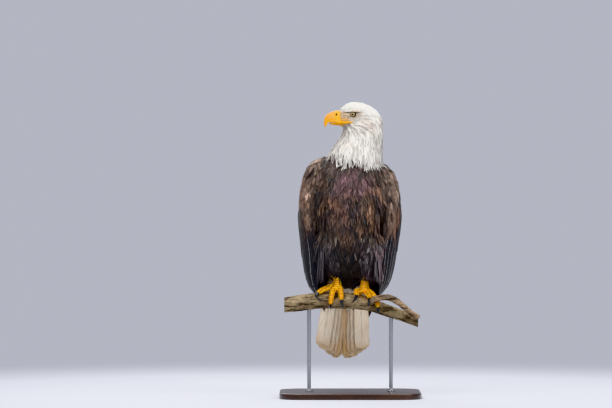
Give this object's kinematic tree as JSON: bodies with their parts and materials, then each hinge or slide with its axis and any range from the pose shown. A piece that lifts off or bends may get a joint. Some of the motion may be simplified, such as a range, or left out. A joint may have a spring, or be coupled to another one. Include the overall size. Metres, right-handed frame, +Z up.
{
  "type": "bald eagle",
  "caption": "Adult bald eagle, life size, perched upright with folded wings and turned head, on a cut branch held over a flat base by rods.",
  "frame": {"origin": "centre of the base's underside, on the floor", "axes": "+Z up, the bird's breast faces -Y, its left is +X, and its head is turned to its right, with the bill towards -X"},
  "size_m": [0.44, 0.35, 0.9221],
  "materials": {
    "white_plumage": "soft white feathers with a warm grey shade",
    "tail_plumage": "cream-white tail feathers, stained buff",
    "dark_plumage": "dark brown feathers with paler edges",
    "flight_feathers": "blackish-brown flight feathers with a faint gloss",
    "bill_horn": "smooth orange-yellow horn",
    "cere": "smooth waxy yellow skin",
    "eye": "wet, pale straw iris round a black pupil",
    "foot_skin": "scaly yellow skin",
    "claw": "polished black horn",
    "bark": "cracked grey-brown bark with lichen",
    "stand_wood": "dark satin lacquer",
    "stand_steel": "brushed steel"
  },
  "bodies": {
    "root": {"head": "white_plumage", "neck": "white_plumage", "tail": "tail_plumage", "trunk": "dark_plumage", "thigh_left": "dark_plumage", "thigh_right": "dark_plumage", "wing_coverts_left": "dark_plumage", "wing_coverts_right": "dark_plumage", "wing_secondaries_left": "flight_feathers", "wing_secondaries_right": "flight_feathers", "wing_primaries_left": "flight_feathers", "wing_primaries_right": "flight_feathers", "bill_upper": "bill_horn", "bill_lower": "bill_horn", "cere": "cere", "eye_left": "eye", "eye_right": "eye", "shank_left": "foot_skin", "shank_right": "foot_skin", "toe_outer_left": "foot_skin", "toe_middle_left": "foot_skin", "toe_inner_left": "foot_skin", "toe_hind_left": "foot_skin", "toe_outer_right": "foot_skin", "toe_middle_right": "foot_skin", "toe_inner_right": "foot_skin", "toe_hind_right": "foot_skin", "claw_outer_left": "claw", "claw_middle_left": "claw", "claw_inner_left": "claw", "claw_hind_left": "claw", "claw_outer_right": "claw", "claw_middle_right": "claw", "claw_inner_right": "claw", "claw_hind_right": "claw", "perch_branch": "bark", "perch_side_shoot": "bark", "stand_base": "stand_wood", "stand_rod_left": "stand_steel", "stand_rod_right": "stand_steel"}
  },
  "joints": []
}
